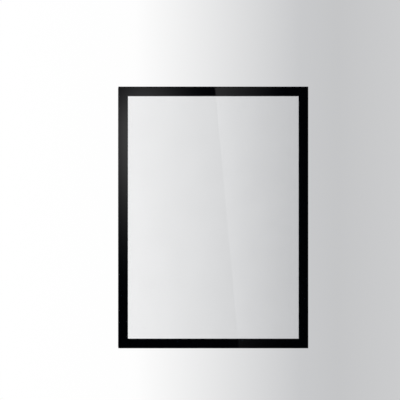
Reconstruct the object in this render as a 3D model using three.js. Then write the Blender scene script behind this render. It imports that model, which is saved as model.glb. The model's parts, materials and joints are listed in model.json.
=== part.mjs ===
// Display frame for one A2 sheet, stuck to a smooth upright surface.
// The back panel carries the adhesive. The front panel is a flap that swings on a tape hinge along its
// left edge, and magnet strips in its border hold it shut against steel strips on the back panel.
// Millimetres, +Z up. The frame sticks to the plane y = 0 and its front faces -Y. The origin is in that
// plane, in the middle of the frame as seen from the front.

import * as THREE from "three";

// The sheet on show
const SHEET_WIDTH = 420;
const SHEET_HEIGHT = 594;
const SHEET_CLEARANCE = 1; // all round the sheet in its pocket

// The border, seen from the front
const RIM = 20.5; // from the sheet's edge out to the edge of the flap
const LIP = 3; // from the sheet's edge in to the window
const CORNER_RADIUS = 1;
const CORNER_STEPS = 4;
const LIFT_EDGE = 1.5; // how far the flap's free sides reach past the back panel, for a fingernail

// The thickness of each layer, from the back to the front
const ADHESIVE_THICKNESS = 0.3;
const REAR_BORDER_THICKNESS = 0.2;
const BACK_FILM_THICKNESS = 0.5;
const STEEL_THICKNESS = 0.5;
const HINGE_THICKNESS = 0.15;
const MAGNET_THICKNESS = 0.8;
const FRONT_FILM_THICKNESS = 0.4;
const FRONT_BORDER_THICKNESS = 0.2;
const BOND = 0.05; // glue line between two layers

// The steel and magnet strips, and the adhesive strips
const STRIP_INSET = 0.5; // from the edge of the back panel
const STRIP_JOINT = 0.5; // between two strips that meet at a corner
const ADHESIVE_INSET = 2; // from the edge of the back panel
const ADHESIVE_WINDOW_INSET = 3; // from the window
const ADHESIVE_JOINT = 1; // between two strips that meet at a corner

// The tape hinge
const HINGE_INSET = 2.5; // from a leaf to the pocket's edge of the strip that it is glued to
const HINGE_END_INSET = 2; // from a leaf's end to the end of the back panel
const HINGE_GAP = 0.1; // between the two leaves when the flap is shut
const FOLD_CLEARANCE = 0.05; // between the fold and the edges of both panels
const FOLD_SIDES = 12;

// Outlines as seen from the front
const inset = (edge, by) => ({
  left: edge.left + by,
  right: edge.right - by,
  bottom: edge.bottom + by,
  top: edge.top - by,
});
const sheetEdge = {
  left: -SHEET_WIDTH / 2,
  right: SHEET_WIDTH / 2,
  bottom: -SHEET_HEIGHT / 2,
  top: SHEET_HEIGHT / 2,
};
const pocketEdge = inset(sheetEdge, -SHEET_CLEARANCE);
const windowEdge = inset(sheetEdge, LIP);
const flapEdge = inset(sheetEdge, -RIM);
const backEdge = { ...inset(flapEdge, LIFT_EDGE), left: flapEdge.left };
const stripEdge = inset(backEdge, STRIP_INSET);
const adhesiveEdge = inset(backEdge, ADHESIVE_INSET);
const adhesiveInnerEdge = inset(windowEdge, -ADHESIVE_WINDOW_INSET);
const leafEdge = {
  left: flapEdge.left,
  right: pocketEdge.left - HINGE_INSET,
  bottom: backEdge.bottom + HINGE_END_INSET,
  top: backEdge.top - HINGE_END_INSET,
};

// Where each layer starts, measured from the back towards the front
const adhesiveStart = 0;
const rearBorderStart = adhesiveStart + ADHESIVE_THICKNESS + BOND;
const backFilmStart = rearBorderStart + REAR_BORDER_THICKNESS + BOND;
const steelStart = backFilmStart + BACK_FILM_THICKNESS + BOND;
const fixedLeafStart = steelStart + STEEL_THICKNESS + BOND;
const hingeDepth = fixedLeafStart + HINGE_THICKNESS + HINGE_GAP / 2;
const movingLeafStart = hingeDepth + HINGE_GAP / 2;
const magnetStart = movingLeafStart + HINGE_THICKNESS + BOND;
const frontFilmStart = magnetStart + MAGNET_THICKNESS + BOND;
const frontBorderStart = frontFilmStart + FRONT_FILM_THICKNESS + BOND;

// The hinge line runs up the left edge, just clear of both panels
const foldRadius = HINGE_GAP / 2 + HINGE_THICKNESS;
const hingeX = flapEdge.left - FOLD_CLEARANCE - foldRadius;

const finish = (color, roughness, metalness = 0, opacity = 1) =>
  new THREE.MeshStandardMaterial({ color, roughness, metalness, opacity, transparent: opacity < 1 });
const adhesiveGel = finish(0xdfe2dc, 0.35, 0, 0.6);
const blackFoil = finish(0x060607, 0.12);
const clearFilm = finish(0xeef1f2, 0.08, 0, 0.2);
const zincSteel = finish(0xa9adb0, 0.4, 1);
const hingeTape = finish(0x101012, 0.6);
const magnetRubber = finish(0x241f1c, 0.75);

// A sheet with round corners, and a window where it has one, with its back on y = 0
function sheet({ left, right, bottom, top }, thickness, opening) {
  const r = CORNER_RADIUS;
  const shape = new THREE.Shape()
    .moveTo(left + r, bottom)
    .lineTo(right - r, bottom)
    .absarc(right - r, bottom + r, r, -Math.PI / 2, 0)
    .lineTo(right, top - r)
    .absarc(right - r, top - r, r, 0, Math.PI / 2)
    .lineTo(left + r, top)
    .absarc(left + r, top - r, r, Math.PI / 2, Math.PI)
    .lineTo(left, bottom + r)
    .absarc(left + r, bottom + r, r, Math.PI, 1.5 * Math.PI);
  if (opening) {
    const hole = new THREE.Path()
      .moveTo(opening.left, opening.bottom)
      .lineTo(opening.left, opening.top)
      .lineTo(opening.right, opening.top)
      .lineTo(opening.right, opening.bottom)
      .closePath();
    shape.holes.push(hole);
  }
  const settings = { depth: thickness, bevelEnabled: false, curveSegments: CORNER_STEPS };
  return new THREE.ExtrudeGeometry(shape, settings).rotateX(Math.PI / 2);
}

// A strip cut square at its ends, with its back on y = 0
function strip({ left, right, bottom, top }, thickness) {
  const geometry = new THREE.BoxGeometry(right - left, thickness, top - bottom);
  return geometry.translate((left + right) / 2, -thickness / 2, (bottom + top) / 2);
}

// Four strips between two edges: the top and bottom ones run through, and the upright ones butt on them
function stripsBetween(outer, inner, joint) {
  const upright = { bottom: inner.bottom + joint, top: inner.top - joint };
  return Object.entries({
    top: { ...outer, bottom: inner.top },
    bottom: { ...outer, top: inner.bottom },
    left: { ...upright, left: outer.left, right: inner.left },
    right: { ...upright, left: inner.right, right: outer.right },
  });
}

// The two panels are groups, and the flap's origin is on the hinge line, so turning it about Z opens it
const frame = new THREE.Group();
const backPanel = new THREE.Group();
const flap = new THREE.Group();
flap.position.set(hingeX, -hingeDepth, 0);
frame.add(backPanel, flap);

function add(panel, name, geometry, material, start) {
  const mesh = new THREE.Mesh(geometry, material);
  mesh.name = name;
  mesh.position.set(0, -start, 0).sub(panel.position);
  panel.add(mesh);
}

// Back panel: adhesive strips, black border, clear film and steel strips
for (const [side, edge] of stripsBetween(adhesiveEdge, adhesiveInnerEdge, ADHESIVE_JOINT)) {
  add(backPanel, `adhesive_strip_${side}`, strip(edge, ADHESIVE_THICKNESS), adhesiveGel, adhesiveStart);
}
const rearBorder = sheet(backEdge, REAR_BORDER_THICKNESS, windowEdge);
add(backPanel, "rear_border", rearBorder, blackFoil, rearBorderStart);
add(backPanel, "back_film", sheet(backEdge, BACK_FILM_THICKNESS), clearFilm, backFilmStart);
for (const [side, edge] of stripsBetween(stripEdge, pocketEdge, STRIP_JOINT)) {
  add(backPanel, `steel_strip_${side}`, strip(edge, STEEL_THICKNESS), zincSteel, steelStart);
}

// Hinge tape: a leaf on each panel, and the fold between them as a round bead on the hinge line
add(backPanel, "hinge_leaf_fixed", strip(leafEdge, HINGE_THICKNESS), hingeTape, fixedLeafStart);
const foldLength = leafEdge.top - leafEdge.bottom;
const fold = new THREE.CylinderGeometry(foldRadius, foldRadius, foldLength, FOLD_SIDES);
fold.rotateX(Math.PI / 2).translate(hingeX, 0, (leafEdge.top + leafEdge.bottom) / 2);
add(backPanel, "hinge_fold", fold, hingeTape, hingeDepth);
add(flap, "hinge_leaf_moving", strip(leafEdge, HINGE_THICKNESS), hingeTape, movingLeafStart);

// Flap: magnet strips, clear film and black border
for (const [side, edge] of stripsBetween(stripEdge, pocketEdge, STRIP_JOINT)) {
  add(flap, `magnet_strip_${side}`, strip(edge, MAGNET_THICKNESS), magnetRubber, magnetStart);
}
add(flap, "front_film", sheet(flapEdge, FRONT_FILM_THICKNESS), clearFilm, frontFilmStart);
const frontBorder = sheet(flapEdge, FRONT_BORDER_THICKNESS, windowEdge);
add(flap, "front_border", frontBorder, blackFoil, frontBorderStart);

export default frame;
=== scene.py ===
import json
import math

import bmesh
import bpy
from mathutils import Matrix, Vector


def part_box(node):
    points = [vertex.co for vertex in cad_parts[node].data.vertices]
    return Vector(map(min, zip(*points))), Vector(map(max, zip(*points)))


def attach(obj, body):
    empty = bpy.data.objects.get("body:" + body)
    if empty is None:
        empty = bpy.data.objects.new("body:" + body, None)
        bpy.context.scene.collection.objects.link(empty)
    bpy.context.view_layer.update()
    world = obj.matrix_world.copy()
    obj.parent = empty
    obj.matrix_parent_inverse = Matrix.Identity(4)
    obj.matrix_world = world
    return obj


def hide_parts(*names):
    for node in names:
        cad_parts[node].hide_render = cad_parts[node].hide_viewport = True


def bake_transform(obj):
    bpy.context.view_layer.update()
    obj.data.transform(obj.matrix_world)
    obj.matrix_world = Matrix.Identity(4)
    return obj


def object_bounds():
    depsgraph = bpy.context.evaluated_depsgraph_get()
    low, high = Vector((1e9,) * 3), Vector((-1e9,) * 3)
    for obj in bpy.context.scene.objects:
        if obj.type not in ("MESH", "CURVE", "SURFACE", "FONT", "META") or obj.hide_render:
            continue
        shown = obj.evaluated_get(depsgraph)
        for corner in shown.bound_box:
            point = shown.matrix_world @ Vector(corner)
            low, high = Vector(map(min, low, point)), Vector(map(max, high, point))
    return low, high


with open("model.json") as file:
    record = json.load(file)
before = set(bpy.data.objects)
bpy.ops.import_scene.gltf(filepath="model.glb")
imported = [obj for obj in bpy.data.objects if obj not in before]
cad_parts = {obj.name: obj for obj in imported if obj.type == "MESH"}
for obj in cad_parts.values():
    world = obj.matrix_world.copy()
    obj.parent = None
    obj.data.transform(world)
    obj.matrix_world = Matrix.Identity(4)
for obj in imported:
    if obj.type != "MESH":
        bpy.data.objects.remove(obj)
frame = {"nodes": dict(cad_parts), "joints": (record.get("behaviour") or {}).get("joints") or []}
cad_low, cad_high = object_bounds()

# Adhesive strips
# Four strips of clear, removable acrylic gel on the back of the frame, which hold it up. Their tacky face
# is embossed with low pads, so that air can leave as a strip is pressed down.
PAD_PITCH = 0.0055
PAD_DEPTH = 0.00015
STEPS_TO_A_PAD = 4.0
WELD_REACH = 0.000001
QUARTER_TURN = math.pi / 2


def wire(tree, kind, values=None, **settings):
    """Adds a node to a tree. Each input takes a plain value, or another node's output to link it to."""
    node = tree.nodes.new(kind)
    for key, value in settings.items():
        setattr(node, key, value)
    for key, value in (values or {}).items():
        if isinstance(value, bpy.types.NodeSocket):
            tree.links.new(value, node.inputs[key])
        else:
            node.inputs[key].default_value = value
    return node


def sums(tree, operation, *values):
    """One step of arithmetic in a tree."""
    return wire(tree, "ShaderNodeMath", dict(enumerate(values)), operation=operation).outputs[0]


def new_form(name, inputs):
    """A geometry tree with named inputs. Returns the tree and its input sockets."""
    tree = bpy.data.node_groups.new(name, "GeometryNodeTree")
    for label, kind in inputs.items():
        tree.interface.new_socket(label, in_out="INPUT", socket_type="NodeSocket" + kind)
    tree.interface.new_socket("Geometry", in_out="OUTPUT", socket_type="NodeSocketGeometry")
    return tree, tree.nodes.new("NodeGroupInput").outputs


def joined(tree, *parts):
    """Several geometries as one."""
    whole = wire(tree, "GeometryNodeJoinGeometry")
    for part in parts:
        tree.links.new(part, whole.inputs[0])
    return whole.outputs[0]


def welded(tree, *shells):
    """Several open shells as one closed form."""
    shared = {"Geometry": joined(tree, *shells), "Distance": WELD_REACH}
    return wire(tree, "GeometryNodeMergeByDistance", shared).outputs[0]


def end_form(tree, geometry, material):
    """Closes a geometry tree: real meshes, one material."""
    real = wire(tree, "GeometryNodeRealizeInstances", {"Geometry": geometry})
    coated = wire(tree, "GeometryNodeSetMaterial", {"Geometry": real.outputs[0], "Material": material})
    wire(tree, "NodeGroupOutput", {"Geometry": coated.outputs[0]})


def moulded_strip_form():
    """A strip that lies along X, or upright if it is turned. Its back has low pads, or ribs along it."""
    tree, size = new_form("moulded_strip", {
        "Length": "Float", "Width": "Float", "Thickness": "Float", "Pitch": "Float", "Depth": "Float",
        "Ribbed": "Bool", "Turn": "Float", "Place": "Vector", "Material": "Material",
    })
    padded = sums(tree, "SUBTRACT", 1.0, size["Ribbed"])
    columns = sums(tree, "ROUND", sums(tree, "DIVIDE", size["Length"], size["Pitch"]))
    rows = sums(tree, "ROUND", sums(tree, "DIVIDE", size["Width"], size["Pitch"]))
    steps_along = sums(tree, "MULTIPLY", sums(tree, "MULTIPLY", columns, padded), STEPS_TO_A_PAD)
    face = wire(tree, "GeometryNodeMeshGrid", {
        "Size X": size["Length"], "Size Y": size["Width"],
        "Vertices X": sums(tree, "MAXIMUM", sums(tree, "ADD", steps_along, 1.0), 2.0),
        "Vertices Y": sums(tree, "ADD", sums(tree, "MULTIPLY", rows, STEPS_TO_A_PAD), 1.0),
    })
    spot = wire(tree, "ShaderNodeSeparateXYZ", {0: wire(tree, "GeometryNodeInputPosition").outputs[0]})

    def rise(place, length, count):
        """From 0 in the grooves to 1 on top of each pad or rib, with round shoulders."""
        share = sums(tree, "ADD", sums(tree, "DIVIDE", place, length), 0.5)
        phase = sums(tree, "MULTIPLY", sums(tree, "MULTIPLY", share, count), math.pi)
        return sums(tree, "SQRT", sums(tree, "ABSOLUTE", sums(tree, "SINE", phase)))

    along = sums(tree, "MAXIMUM", rise(spot.outputs["X"], size["Length"], columns), size["Ribbed"])
    across = rise(spot.outputs["Y"], size["Width"], rows)
    height = sums(tree, "MINIMUM", along, across)
    marked = wire(tree, "GeometryNodeStoreNamedAttribute", {
        "Geometry": face.outputs[0], "Name": "height", "Value": height,
    }, data_type="FLOAT", domain="POINT")
    sunk = sums(tree, "MULTIPLY", sums(tree, "SUBTRACT", height, 1.0), size["Depth"])
    drop = wire(tree, "ShaderNodeCombineXYZ", {"Z": sunk})
    back = wire(tree, "GeometryNodeSetPosition", {"Geometry": marked.outputs[0], "Offset": drop.outputs[0]})
    thick = wire(tree, "GeometryNodeExtrudeMesh", {
        "Mesh": back.outputs[0], "Offset": (0, 0, -1),
        "Offset Scale": size["Thickness"], "Individual": False,
    })
    level = wire(tree, "ShaderNodeCombineXYZ", {
        "X": spot.outputs["X"], "Y": spot.outputs["Y"], "Z": sums(tree, "MULTIPLY", size["Thickness"], -1.0),
    })
    body = wire(tree, "GeometryNodeSetPosition", {
        "Geometry": thick.outputs["Mesh"], "Selection": thick.outputs["Top"], "Position": level.outputs[0],
    })
    facing = wire(tree, "GeometryNodeTransform", {
        "Geometry": welded(tree, body.outputs[0], back.outputs[0]), "Rotation": (-QUARTER_TURN, 0, 0),
    })
    placed = wire(tree, "GeometryNodeTransform", {
        "Geometry": facing.outputs[0], "Translation": size["Place"],
        "Rotation": wire(tree, "ShaderNodeCombineXYZ", {"Y": size["Turn"]}).outputs[0],
    })
    end_form(tree, placed.outputs[0], size["Material"])
    return tree


def put_in_scene(name, data):
    """A new object in the scene, at the origin."""
    thing = bpy.data.objects.new(name, data)
    bpy.context.scene.collection.objects.link(thing)
    return thing


def make_piece(name, form, sizes, bevel=0.0):
    """Runs a form with these sizes, breaks its edges, and returns the result as a plain mesh object."""
    piece = put_in_scene(name, bpy.data.meshes.new(name))
    shaping = piece.modifiers.new("form", "NODES")
    shaping.node_group = form
    for socket in form.interface.items_tree:
        if socket.in_out == "INPUT":
            shaping[socket.identifier] = sizes[socket.name]
    if bevel:
        rounding = piece.modifiers.new("broken edges", "BEVEL")
        rounding.width = bevel
        rounding.segments = 2
        rounding.limit_method = "ANGLE"
        rounding.angle_limit = math.radians(50)
    mesh = bpy.data.meshes.new_from_object(piece.evaluated_get(bpy.context.evaluated_depsgraph_get()))
    piece.modifiers.clear()
    shell = bmesh.new()
    shell.from_mesh(mesh)
    bmesh.ops.recalc_face_normals(shell, faces=shell.faces)
    shell.to_mesh(mesh)
    shell.free()
    mesh.shade_smooth()
    mesh.set_sharp_from_angle(angle=math.radians(20))
    piece.data = mesh
    return piece


def new_finish(name, **constants):
    """A material with these constants on its shader. Returns the material, its tree and the shader."""
    material = bpy.data.materials.new(name)
    material.use_nodes = True
    shader = material.node_tree.nodes["Principled BSDF"]
    for socket, value in constants.items():
        shader.inputs[socket.replace("_", " ")].default_value = value
    return material, material.node_tree, shader


def coat(tree, shader):
    """Makes this shader the material's surface."""
    tree.links.new(shader.outputs[0], tree.nodes["Material Output"].inputs["Surface"])


def place_on(tree):
    """Where a point of the piece is, in metres."""
    return wire(tree, "ShaderNodeTexCoord").outputs["Object"]


def speckle(tree, grain, detail=2.0, stretch=(1, 1, 1)):
    """Noise over the piece, with grains of about this size in metres."""
    drawn = wire(tree, "ShaderNodeMapping", {"Vector": place_on(tree), "Scale": stretch}).outputs[0]
    noise = {"Vector": drawn, "Scale": 1 / grain, "Detail": detail}
    return wire(tree, "ShaderNodeTexNoise", noise).outputs[0]


def spread(tree, noise, low, high):
    """Takes the middle of a noise, where most of it lies, out to a range of values."""
    limits = {"Value": noise, "From Min": 0.3, "From Max": 0.7, "To Min": low, "To Max": high}
    return wire(tree, "ShaderNodeMapRange", limits).outputs[0]


def tint(tree, shader, noise, dark, light):
    """Colours the shader with a blend of two colours, by a noise."""
    stops = wire(tree, "ShaderNodeValToRGB", {"Fac": spread(tree, noise, 0.0, 1.0)})
    for stop, colour in zip(stops.color_ramp.elements, (dark, light)):
        stop.color = (*colour, 1)
    tree.links.new(stops.outputs[0], shader.inputs["Base Color"])


def gloss(tree, shader, noise, smoothest, roughest):
    """Makes the shader's gloss uneven, by a noise."""
    tree.links.new(spread(tree, noise, smoothest, roughest), shader.inputs["Roughness"])


def let_lamps_through(tree, shader):
    """Clear pieces cast no dark shadow: lamps shine through them."""
    path = wire(tree, "ShaderNodeLightPath")
    clear = wire(tree, "ShaderNodeBsdfTransparent", {"Color": (0.9, 0.9, 0.9, 1)})
    coat(tree, wire(tree, "ShaderNodeMixShader", {
        0: path.outputs["Is Shadow Ray"], 1: shader.outputs[0], 2: clear.outputs[0],
    }))


def with_painted_height_shade(tree, noise, share):
    """Painted shade: a noise, lighter where a moulded strip stands high. The share is the height's part in
    it.
    """
    height = wire(tree, "ShaderNodeAttribute", attribute_name="height").outputs["Fac"]
    grain = sums(tree, "MULTIPLY", noise, 1.0 - share)
    return sums(tree, "ADD", grain, sums(tree, "MULTIPLY", height, share))


def clear_gel(name):
    """Acrylic gel: clear, with a soft, uneven gloss, and painted shade: lighter on the pads, darker between
    them.
    """
    gel, tree, shader = new_finish(name, Transmission_Weight=0.85, IOR=1.47)
    cloud = speckle(tree, grain=0.012, detail=4.0)
    cloud_and_pad_shade = with_painted_height_shade(tree, cloud, share=0.6)
    # The colour is a random cloud and painted shade, lighter on the pads and darker in the grooves between
    # them.
    tint(tree, shader, cloud_and_pad_shade, dark=(0.1, 0.105, 0.105), light=(0.45, 0.47, 0.465))
    gloss(tree, shader, cloud, smoothest=0.05, roughest=0.12)
    let_lamps_through(tree, shader)
    return gel


def strips_of(kind):
    """The nodes of one kind of strip."""
    return sorted(node for node in frame["nodes"] if node.startswith(kind))


def lay_strip(node, form, body, slot, **sizes):
    """Lays a moulded strip in a node's place, the long way of the node's box."""
    low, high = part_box(node)
    reach = high - low
    strip = make_piece("moulded_" + node, form, {
        "Length": max(reach.x, reach.z), "Width": min(reach.x, reach.z), "Thickness": reach.y,
        "Turn": QUARTER_TURN if reach.z > reach.x else 0.0,
        "Place": ((low.x + high.x) / 2, high.y, (low.z + high.z) / 2), **sizes,
    })
    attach(strip, body)
    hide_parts(node)


moulded_strip = moulded_strip_form()
adhesive_gel = clear_gel("adhesive_gel")
for node in strips_of("adhesive_strip"):
    lay_strip(node, moulded_strip, "back_panel", "adhesive_gel",
              Pitch=PAD_PITCH, Depth=PAD_DEPTH, Ribbed=False, Material=adhesive_gel)

# Rear border
# A ring of black foil, die-cut from one sheet and laminated to the back of the back panel, so that the
# frame is black from behind as well. Its gloss is a little softer than the front's.
BORDER_WIDTH = 0.0235
CORNER_RADIUS = 0.001
CORNER_STEPS = 8
FOIL_BEVEL = 0.00003
front_low, front_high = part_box("front_border")
WINDOW_WIDTH = front_high.x - front_low.x - 2 * BORDER_WIDTH
WINDOW_HEIGHT = front_high.z - front_low.z - 2 * BORDER_WIDTH


def die_cut_form():
    """A flat sheet with round corners, and a window if it is open. It faces -Y with its back at Place."""
    tree, size = new_form("die_cut_sheet", {
        "Width": "Float", "Height": "Float", "Corner Radius": "Float", "Thickness": "Float",
        "Open": "Bool", "Window Width": "Float", "Window Height": "Float", "Window Shift": "Vector",
        "Place": "Vector", "Material": "Material",
    })
    outline = wire(tree, "GeometryNodeCurvePrimitiveQuadrilateral", {
        "Width": size["Width"], "Height": size["Height"],
    })
    rounded = wire(tree, "GeometryNodeFilletCurve", {
        "Curve": outline.outputs[0], "Count": CORNER_STEPS, "Radius": size["Corner Radius"],
    }, mode="POLY").outputs[0]
    window = wire(tree, "GeometryNodeCurvePrimitiveQuadrilateral", {
        "Width": size["Window Width"], "Height": size["Window Height"],
    })
    shifted = wire(tree, "GeometryNodeTransform", {
        "Geometry": window.outputs[0], "Translation": size["Window Shift"],
    })
    cut = wire(tree, "GeometryNodeSwitch", {
        "Switch": size["Open"], "False": rounded, "True": joined(tree, rounded, shifted.outputs[0]),
    }, input_type="GEOMETRY")
    back = wire(tree, "GeometryNodeFillCurve", {"Curve": cut.outputs[0]}, mode="NGONS").outputs[0]
    front = wire(tree, "GeometryNodeExtrudeMesh", {
        "Mesh": back, "Offset Scale": size["Thickness"], "Individual": False,
    })
    behind = wire(tree, "GeometryNodeFlipFaces", {"Mesh": back})
    placed = wire(tree, "GeometryNodeTransform", {
        "Geometry": welded(tree, front.outputs[0], behind.outputs[0]),
        "Rotation": (QUARTER_TURN, 0, 0), "Translation": size["Place"],
    })
    end_form(tree, placed.outputs[0], size["Material"])
    return tree


def cut_sheet(node, finish, body, opened=False, bevel=FOIL_BEVEL, corner=CORNER_RADIUS):
    """Stands a die-cut sheet in a node's place. Its window, if it has one, is in the middle of the front."""
    low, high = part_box(node)
    middle = (low + high) / 2
    shift = (front_low + front_high) / 2 - middle
    sheet = make_piece("cut_" + node, die_cut_sheet, {
        "Width": high.x - low.x, "Height": high.z - low.z, "Thickness": high.y - low.y,
        "Corner Radius": corner, "Open": opened, "Window Width": WINDOW_WIDTH,
        "Window Height": WINDOW_HEIGHT, "Window Shift": (shift.x, shift.z, 0),
        "Place": (middle.x, high.y, middle.z), "Material": finish,
    }, bevel)
    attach(sheet, body)
    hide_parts(node)


def relief(tree, shader, height, depth):
    """Bump of this depth in metres."""
    bump = wire(tree, "ShaderNodeBump", {"Height": height, "Distance": depth, "Strength": 1.0})
    tree.links.new(bump.outputs[0], shader.inputs["Normal"])


def black_foil(name, smoothest, roughest):
    """Black plastic foil: nearly no colour, a clear gloss with faint wipe marks, and a fine orange peel."""
    foil, tree, shader = new_finish(name, IOR=1.56)
    wipe = speckle(tree, grain=0.09, detail=6.0, stretch=(1, 1, 0.4))
    tint(tree, shader, wipe, dark=(0.0004, 0.0007, 0.0013), light=(0.0007, 0.0010, 0.0017))
    gloss(tree, shader, wipe, smoothest, roughest)
    relief(tree, shader, speckle(tree, grain=0.004), depth=0.0000004)
    return foil


die_cut_sheet = die_cut_form()
satin_foil = black_foil("satin_black_foil", smoothest=0.1, roughest=0.16)
cut_sheet("rear_border", satin_foil, "back_panel", opened=True)

# Back film
# A sheet of clear, stiff plastic film that carries everything on the back panel. It is cut to the same
# outline as the rear border, and the paper rests against it.
FILM_BEVEL = 0.00005


def clear_film(name):
    """Clear plastic film with a faint grey tint, and a trace of handling marks in its gloss."""
    film, tree, shader = new_finish(name, Transmission_Weight=1.0, IOR=1.5)
    marks = speckle(tree, grain=0.07, detail=5.0)
    tint(tree, shader, marks, dark=(0.945, 0.947, 0.95), light=(0.955, 0.957, 0.96))
    gloss(tree, shader, marks, smoothest=0.005, roughest=0.018)
    let_lamps_through(tree, shader)
    return film


cut_sheet("back_film", clear_film("clear_back_film"), "back_panel", bevel=FILM_BEVEL)

# Steel strips
# Thin zinc-plated steel, slit into strips, cut to length and glued round the back film. The magnets in
# the flap hold on to them, and their inner edges keep the sheet of paper in place.
SLIT_CORNER = 0.0004
SLIT_BEVEL = 0.00008
SPANGLE = 0.005
LINE_STRETCH = 0.02


def zinc_steel(name, stretch):
    """Zinc-plated steel with a faint spangle, and with rolling lines that run along the strip."""
    steel, tree, shader = new_finish(name, Metallic=1.0)
    spangle = wire(tree, "ShaderNodeTexVoronoi", {"Vector": place_on(tree), "Scale": 1 / SPANGLE})
    crystal = wire(tree, "ShaderNodeSeparateColor", {0: spangle.outputs["Color"]}).outputs[0]
    tint(tree, shader, crystal, dark=(0.5, 0.515, 0.53), light=(0.56, 0.575, 0.59))
    lines = speckle(tree, grain=0.0006, detail=3.0, stretch=stretch)
    gloss(tree, shader, lines, smoothest=0.26, roughest=0.42)
    relief(tree, shader, lines, depth=0.000003)
    return steel


steel_across = zinc_steel("zinc_steel_across", (LINE_STRETCH, 1, 1))
steel_upright = zinc_steel("zinc_steel_upright", (1, 1, LINE_STRETCH))
for node in strips_of("steel_strip"):
    low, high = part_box(node)
    steel = steel_upright if high.z - low.z > high.x - low.x else steel_across
    cut_sheet(node, steel, "back_panel", bevel=SLIT_BEVEL, corner=SLIT_CORNER)

# Hinge tape
# One length of black woven tape, folded round the left edge. One half is glued to the steel and the other
# to the magnets, and the bend between them is the hinge.
BEND_STEPS = 12
YARN = 0.0006
WAVE_LENGTH = math.pi / 10  # of a wave texture whose scale is 1


def fold_tape(name, line):
    """A band of even thickness round the hinge line, as tall as its two halves. Its UVs are in metres."""
    low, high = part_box("hinge_leaf_fixed")
    sides = []
    for radius in (high.y - line.y, low.y - line.y):
        bend = []
        for step in range(BEND_STEPS + 1):
            turn = QUARTER_TURN + math.pi * step / BEND_STEPS
            bend.append((line.x + radius * math.cos(turn), line.y + radius * math.sin(turn)))
        sides.append([(high.x, line.y + radius), *bend, (high.x, line.y - radius)])
    run = [0.0]
    for here, there in zip(sides[0], sides[0][1:]):
        run.append(run[-1] + math.dist(here, there))

    band = bmesh.new()
    weave = band.loops.layers.uv.new("weave")
    distance = {}
    ends = []
    for z in (low.z, high.z):
        end = [[band.verts.new((x, y, z)) for x, y in side] for side in sides]
        ends.append(end)
        for side in end:
            distance.update(zip(side, run))
    (outer_low, inner_low), (outer_high, inner_high) = ends
    border = [outer_low, outer_high, inner_high, inner_low]
    for first, second in zip(border, border[1:] + border[:1]):
        for i in range(len(run) - 1):
            band.faces.new([first[i], first[i + 1], second[i + 1], second[i]])
    for i in (0, -1):
        band.faces.new([side[i] for side in border])
    for face in band.faces:
        for corner in face.loops:
            corner[weave].uv = (distance[corner.vert], corner.vert.co.z)
    bmesh.ops.recalc_face_normals(band, faces=band.faces)
    mesh = bpy.data.meshes.new(name)
    band.to_mesh(mesh)
    band.free()
    return put_in_scene(name, mesh)


def woven_tape(name):
    """Plain weave: yarns that pass over and under each other, row by row, with painted shade where they dip.
    """
    cloth, tree, shader = new_finish(name, Roughness=0.62, Sheen_Weight=0.15, Sheen_Roughness=0.5)
    place = wire(tree, "ShaderNodeUVMap", uv_map="weave").outputs[0]
    over = wire(tree, "ShaderNodeTexChecker", {"Vector": place, "Scale": 1 / YARN}).outputs["Fac"]
    wave = {"Vector": place, "Scale": WAVE_LENGTH / YARN}
    warp, weft = (
        wire(tree, "ShaderNodeTexWave", wave, bands_direction=way).outputs["Fac"] for way in ("X", "Y")
    )
    height = wire(tree, "ShaderNodeMix", {"Factor": over, "A": warp, "B": weft}).outputs[0]
    # Painted shade: the colour is darker where the yarns dip and lighter on their crowns.
    tint(tree, shader, height, dark=(0.006, 0.006, 0.007), light=(0.022, 0.022, 0.024))
    relief(tree, shader, height, depth=0.00004)
    return cloth


hinge_line = Vector(frame["joints"][0]["pos_m"])
tape = fold_tape("folded_hinge_tape", hinge_line)
tape.data.materials.append(woven_tape("woven_hinge_tape"))
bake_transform(tape)
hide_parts("hinge_leaf_fixed", "hinge_fold", "hinge_leaf_moving")

# Magnet strips
# Flexible magnet, a rubber filled with ferrite powder. It is extruded with fine ribs along its length,
# cut to fit and glued to the back of the front film, with the ribs towards the steel.
RIB_PITCH = 0.0025
RIB_DEPTH = 0.00012


def ferrite_rubber(name):
    """Dull, nearly black rubber with the grain of the powder in it, and painted shade that is darker between
    its ribs.
    """
    rubber, tree, shader = new_finish(name, Specular_IOR_Level=0.35)
    powder = speckle(tree, grain=0.0005, detail=6.0)
    powder_and_rib_shade = with_painted_height_shade(tree, powder, share=0.4)
    # The colour is the powder's grain and painted shade, lighter on the ribs and darker between them.
    tint(tree, shader, powder_and_rib_shade, dark=(0.012, 0.01, 0.009), light=(0.05, 0.044, 0.04))
    gloss(tree, shader, speckle(tree, grain=0.02, detail=4.0), smoothest=0.55, roughest=0.75)
    relief(tree, shader, powder, depth=0.00001)
    return rubber


magnet_rubber = ferrite_rubber("magnet_rubber")
for node in strips_of("magnet_strip"):
    lay_strip(node, moulded_strip, "flap", "magnet_rubber",
              Pitch=RIB_PITCH, Depth=RIB_DEPTH, Ribbed=True, Material=magnet_rubber)

# Front film
# The clear window of the flap: a sheet of film as large as the flap, glued over the magnets. The paper
# shows through it, and it lifts with the flap.
cut_sheet("front_film", clear_film("clear_front_film"), "flap", bevel=FILM_BEVEL)

# Front border
# The glossy black border that is seen from the front: one die-cut ring of foil, laminated to the face of
# the front film. It hides the magnets, the steel and the edges of the paper.
gloss_foil = black_foil("gloss_black_foil", smoothest=0.02, roughest=0.045)
cut_sheet("front_border", gloss_foil, "flap", opened=True)

# Floor and backdrop
# A plain pale floor just under the frame, and far behind it a backdrop whose light falls off to the right.
# The backdrop shows through the window.
FLOOR_GAP = 0.0005
STAGE_REACH = 12.0
PALE = 0.9
HAZE_NEAR, HAZE_FAR = 0.7, 2.4
BACKDROP_Y, BACKDROP_BOTTOM, BACKDROP_TOP = 6.0, -3.0, 9.0
COOL_GREY, DEEP_GREY = (0.582, 0.588, 0.6), (0.555, 0.56, 0.57)


def grey(level):
    """A colour with no hue."""
    return (level, level, level)


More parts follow.
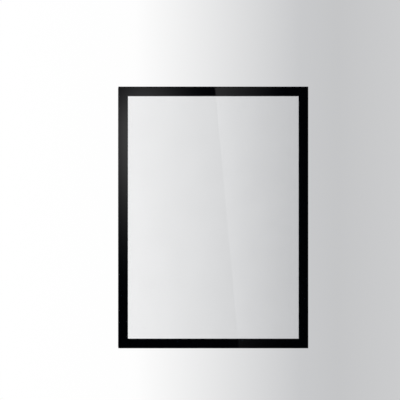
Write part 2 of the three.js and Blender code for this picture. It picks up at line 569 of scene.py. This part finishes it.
def flat_panel(name, corners, material, *rays):
    """A flat stage panel through these corners, seen only by the kinds of ray that are named."""
    mesh = bpy.data.meshes.new(name)
    mesh.from_pydata(corners, [], [range(len(corners))])
    mesh.materials.append(material)
    panel = put_in_scene(name, mesh)
    for ray in ("camera", "diffuse", "glossy", "transmission", "shadow", "volume_scatter"):
        setattr(panel, "visible_" + ray, ray in rays)


def upright_corners(left, right, bottom, top, y):
    """The corners of an upright rectangle that faces along Y."""
    return [(left, y, bottom), (right, y, bottom), (right, y, top), (left, y, top)]


def eased(tree, distance, near, far, top=1.0):
    """Rises smoothly from 0 at the near distance to its top value at the far one."""
    limits = {"Value": distance, "From Min": near, "From Max": far, "To Max": top}
    return wire(tree, "ShaderNodeMapRange", limits, interpolation_type="SMOOTHSTEP").outputs[0]


def matt_floor(name):
    """Matt floor paint. Seen from afar, it fades to the paleness of what is behind the frame."""
    paint, tree, shader = new_finish(name, Roughness=0.9, Specular_IOR_Level=0.1)
    tint(tree, shader, speckle(tree, grain=0.4), dark=grey(0.79), light=grey(0.81))
    away = wire(tree, "ShaderNodeVectorMath", {0: place_on(tree)}, operation="LENGTH").outputs["Value"]
    path = wire(tree, "ShaderNodeLightPath")
    seen = sums(tree, "MAXIMUM", path.outputs["Is Camera Ray"], path.outputs["Is Transmission Ray"])
    haze = wire(tree, "ShaderNodeEmission", {"Strength": PALE})
    coat(tree, wire(tree, "ShaderNodeMixShader", {
        0: sums(tree, "MULTIPLY", eased(tree, away, HAZE_NEAR, HAZE_FAR), seen),
        1: shader.outputs[0], 2: haze.outputs[0],
    }))
    return paint


def new_glow(name):
    """A material that only glows. Returns it, its tree, its glow, and a point's X, Y and Z in metres."""
    material = bpy.data.materials.new(name)
    material.use_nodes = True
    tree = material.node_tree
    tree.nodes.remove(tree.nodes["Principled BSDF"])
    glow = wire(tree, "ShaderNodeEmission")
    coat(tree, glow)
    return material, tree, glow, wire(tree, "ShaderNodeSeparateXYZ", {0: place_on(tree)}).outputs


def graded(tree, place, stops):
    """Colours along a line, as pairs of a place in metres and a colour."""
    start, end = stops[0][0], stops[-1][0]
    share = wire(tree, "ShaderNodeMapRange", {"Value": place, "From Min": start, "From Max": end}).outputs[0]
    scale = wire(tree, "ShaderNodeValToRGB", {"Fac": share})
    elements = scale.color_ramp.elements
    while len(elements) < len(stops):
        elements.new(1.0)
    for element, (metres, colour) in zip(elements, stops):
        element.position = (metres - start) / (end - start)
        element.color = (*colour, 1)
    return scale.outputs[0]


def falling_light(name):
    """White on the left of the frame, falling off to grey on its right, and pale far out."""
    material, tree, glow, place = new_glow(name)
    shades = graded(tree, place["X"], [
        (-1.5, grey(PALE)), (-0.5, grey(1.0)), (-0.19, grey(0.99)),
        (0.21, COOL_GREY), (0.3, DEEP_GREY), (1.5, grey(PALE)),
    ])
    tree.links.new(shades, glow.inputs["Color"])
    return material


floor_z = cad_low.z - FLOOR_GAP
flat_panel("floor", [
    (-STAGE_REACH, -STAGE_REACH, floor_z), (STAGE_REACH, -STAGE_REACH, floor_z),
    (STAGE_REACH, BACKDROP_Y, floor_z), (-STAGE_REACH, BACKDROP_Y, floor_z),
], matt_floor("pale_floor"), "camera", "diffuse", "transmission", "shadow")
corners = upright_corners(-STAGE_REACH, STAGE_REACH, BACKDROP_BOTTOM, BACKDROP_TOP, BACKDROP_Y)
flat_panel("backdrop", corners, falling_light("graded_backdrop"), "camera", "glossy", "transmission")

# Reflected studio
# What the gloss of the foil and the films mirrors: a studio before and behind the frame, dark close by and
# pale further out, where tall soft lights stand in a row. Nothing but reflections sees it.
DARK_REACH, PALE_REACH = 0.41, 1.1
ROW_NEAR, ROW_FAR = 0.9, 1.3
ROW_PITCH, ROW_CONTRAST = 0.92, 0.9
STUDIO_Y, STUDIO_REACH = 1.7, 5.0


def dim_studio(name):
    """Dark in the middle and pale round it. From there on, bright and dim bands take turns along X."""
    material, tree, glow, place = new_glow(name)
    across = wire(tree, "ShaderNodeCombineXYZ", {"X": place["X"], "Z": place["Z"]}).outputs[0]
    distance = wire(tree, "ShaderNodeVectorMath", {0: across}, operation="LENGTH").outputs["Value"]
    pale = eased(tree, distance, DARK_REACH, PALE_REACH, top=PALE)
    in_row = eased(tree, distance, ROW_NEAR, ROW_FAR, top=ROW_CONTRAST)
    wave = sums(tree, "COSINE", sums(tree, "MULTIPLY", place["X"], 2 * math.pi / ROW_PITCH))
    row = sums(tree, "ADD", sums(tree, "MULTIPLY", in_row, wave), 1.0)
    tree.links.new(sums(tree, "MULTIPLY", pale, row), glow.inputs["Strength"])
    return material


studio_glow = dim_studio("dim_studio")
for name, y in (("studio_before", -STUDIO_Y), ("studio_behind", STUDIO_Y)):
    corners = upright_corners(-STUDIO_REACH, STUDIO_REACH, -STUDIO_REACH, STUDIO_REACH, y)
    flat_panel(name, corners, studio_glow, "glossy")

# Corner light
# A soft light in the shape of an L, which the left and the top of the front border mirror. It is brightest
# near their corner. Only reflections see it.
LIGHT_Y = -0.9
OVERLAP = 0.03
GLOW_PEAK = 1.32
GLOW_X, GLOW_Z = -0.1753, 0.2073
GLOW_LEFT, GLOW_RIGHT, GLOW_DOWN, GLOW_UP = 0.0454, 0.0607, 0.131, 0.0716


def see_through(tree, glow):
    """Adds what is behind a light to its own glow."""
    clear = wire(tree, "ShaderNodeBsdfTransparent")
    coat(tree, wire(tree, "ShaderNodeAddShader", {0: glow.outputs[0], 1: clear.outputs[0]}))


def bell_light(name):
    """A bell curve round its brightest spot, with a width of its own to the left, right, top and bottom."""
    material, tree, glow, place = new_glow(name)
    falls = []
    for axis, middle, below, above in (
        ("X", GLOW_X, GLOW_LEFT, GLOW_RIGHT), ("Z", GLOW_Z, GLOW_DOWN, GLOW_UP),
    ):
        offset = sums(tree, "SUBTRACT", place[axis], middle)
        before = sums(tree, "DIVIDE", sums(tree, "MINIMUM", offset, 0.0), below)
        after = sums(tree, "DIVIDE", sums(tree, "MAXIMUM", offset, 0.0), above)
        falls.append(sums(tree, "POWER", sums(tree, "SUBTRACT", after, before), 2.0))
    bell = sums(tree, "EXPONENT", sums(tree, "MULTIPLY", sums(tree, "ADD", *falls), -0.5))
    tree.links.new(sums(tree, "MULTIPLY", bell, GLOW_PEAK), glow.inputs["Strength"])
    see_through(tree, glow)
    return material


window_left, window_top = front_low.x + BORDER_WIDTH, front_high.z - BORDER_WIDTH
light_left, light_bottom, light_top = front_low.x - OVERLAP, front_low.z - OVERLAP, front_high.z + OVERLAP
flat_panel("corner_light", [
    (light_left, LIGHT_Y, light_bottom), (window_left, LIGHT_Y, light_bottom),
    (window_left, LIGHT_Y, window_top), (0, LIGHT_Y, window_top),
    (0, LIGHT_Y, light_top), (light_left, LIGHT_Y, light_top),
], bell_light("corner_light"), "glossy")

# Slanted light
# A light with one slanted edge, which crosses the frame's reflection from top to bottom. It fades to the
# right, and is brightest on the window and dimmest on the bottom bar. Only reflections see it.
SLANT_TOP, SLANT_BOTTOM = 0.0041, 0.0621
FADE_START, FADE_END, FADE_POWER = 0.0139, 0.178, 1.5
ON_TOP, ON_WINDOW, ON_BOTTOM = 0.46, 1.065, 0.131
EASE = 0.006


def fading_light(name):
    """Each height of the light has its own level, and all of it fades along X."""
    material, tree, glow, place = new_glow(name)
    window_bottom = front_low.z + BORDER_WIDTH
    levels = graded(tree, place["Z"], [
        (window_bottom, grey(ON_BOTTOM)), (window_bottom + EASE, grey(ON_WINDOW)),
        (window_top - EASE, grey(ON_WINDOW)), (window_top, grey(ON_TOP)),
    ])
    tree.links.new(levels, glow.inputs["Color"])
    limits = {"Value": place["X"], "From Min": FADE_END, "From Max": FADE_START}
    fade = wire(tree, "ShaderNodeMapRange", limits).outputs[0]
    tree.links.new(sums(tree, "POWER", fade, FADE_POWER), glow.inputs["Strength"])
    see_through(tree, glow)
    return material


lean = (SLANT_TOP - SLANT_BOTTOM) / (front_high.z - front_low.z) * OVERLAP
flat_panel("slanted_light", [
    (SLANT_BOTTOM - lean, LIGHT_Y, light_bottom), (FADE_END, LIGHT_Y, light_bottom),
    (FADE_END, LIGHT_Y, light_top), (SLANT_TOP + lean, LIGHT_Y, light_top),
], fading_light("slanted_light"), "glossy")

# Lamps
# Even light from all round, and three large soft lamps that give the frame its shadow on the floor. The
# camera, reflections and clear pieces see the pale surroundings instead of the even light.
AMBIENT = 0.72
world = bpy.data.worlds.new("studio")
world.use_nodes = True
bpy.context.scene.world = world
tree = world.node_tree
path = wire(tree, "ShaderNodeLightPath")
mirrored = sums(tree, "MAXIMUM", path.outputs["Is Glossy Ray"], path.outputs["Is Transmission Ray"])
seen = sums(tree, "MAXIMUM", path.outputs["Is Camera Ray"], mirrored)
level = wire(tree, "ShaderNodeMapRange", {"Value": seen, "To Min": AMBIENT, "To Max": PALE}).outputs[0]
tree.links.new(level, tree.nodes["Background"].inputs["Strength"])
tree.nodes["Background"].inputs["Color"].default_value = (1, 1, 1, 1)


def soft_box(name, place, size, power):
    """A square lamp that faces the middle of the frame."""
    lamp = bpy.data.lights.new(name, "AREA")
    lamp.size = size
    lamp.energy = power
    holder = put_in_scene(name, lamp)
    holder.location = place
    holder.rotation_euler = (-Vector(place)).to_track_quat("-Z", "Y").to_euler()


soft_box("key_lamp", place=(-1.5, -1.3, 1.5), size=1.2, power=16)
soft_box("fill_lamp", place=(1.7, -1.2, 0.9), size=1.4, power=7)
soft_box("back_lamp", place=(-0.9, 1.5, 1.7), size=1.2, power=12)

# Camera
# Straight in front, with no perspective. The frame stands a little right of the picture's middle and a
# little below it.
PICTURE_WIDTH = 0.9705
PICTURE_X, PICTURE_Z = -0.0322, 0.0423
CAMERA_Y = -2.5
lens = bpy.data.cameras.new("camera")
lens.type = "ORTHO"
lens.ortho_scale = PICTURE_WIDTH
camera = put_in_scene("camera", lens)
camera.location = (PICTURE_X, CAMERA_Y, PICTURE_Z)
camera.rotation_euler = (QUARTER_TURN, 0, 0)
bpy.context.scene.camera = camera
bpy.context.scene.view_settings.view_transform = "Standard"
